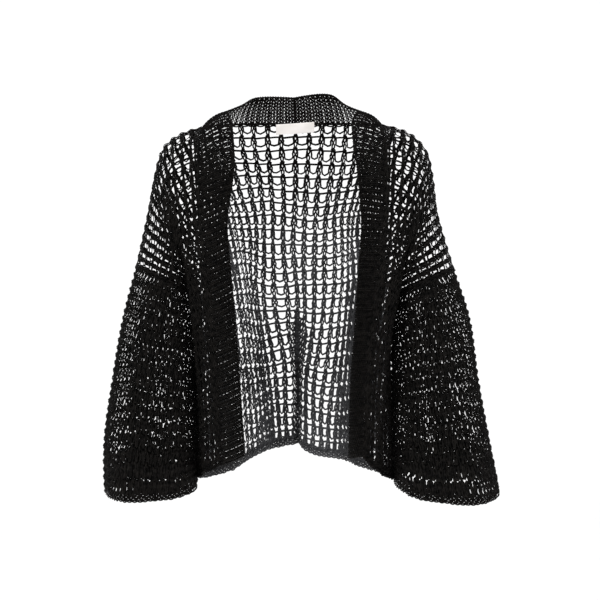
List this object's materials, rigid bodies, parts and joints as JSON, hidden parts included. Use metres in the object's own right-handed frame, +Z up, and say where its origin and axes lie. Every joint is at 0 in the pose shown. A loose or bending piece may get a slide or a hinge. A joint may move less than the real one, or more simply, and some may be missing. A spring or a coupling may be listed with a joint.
{
  "type": "open-front mesh-knit cardigan",
  "caption": "Cropped open-front cardigan in open mesh knit with wide flared sleeves, dropped shoulders, ribbed front bands, a ribbed collar and a bare neck label, in its worn form.",
  "frame": {"origin": "between the shoulders at the height of the neck seam, where a wearer's neck and shoulders carry the garment", "axes": "+Z up, the front faces -Y, the wearer's left is at +X"},
  "size_m": [0.6067, 0.2546, 0.6335],
  "materials": {
    "back_knit": "black open mesh knit in soft yarn",
    "front_knit_right": "black open mesh knit in soft yarn",
    "front_knit_left": "black open mesh knit in soft yarn",
    "sleeve_knit_right": "black open mesh knit in soft yarn",
    "sleeve_knit_left": "black open mesh knit in soft yarn",
    "band_rib_right": "black close rib knit",
    "band_rib_left": "black close rib knit",
    "collar_rib": "black close rib knit",
    "label_satin": "cream satin tape, bare"
  },
  "bodies": {
    "root": {"back": "back_knit", "front_right": "front_knit_right", "front_left": "front_knit_left", "sleeve_right": "sleeve_knit_right", "sleeve_left": "sleeve_knit_left", "front_band_right": "band_rib_right", "front_band_left": "band_rib_left", "collar": "collar_rib", "neck_label": "label_satin"}
  },
  "joints": []
}
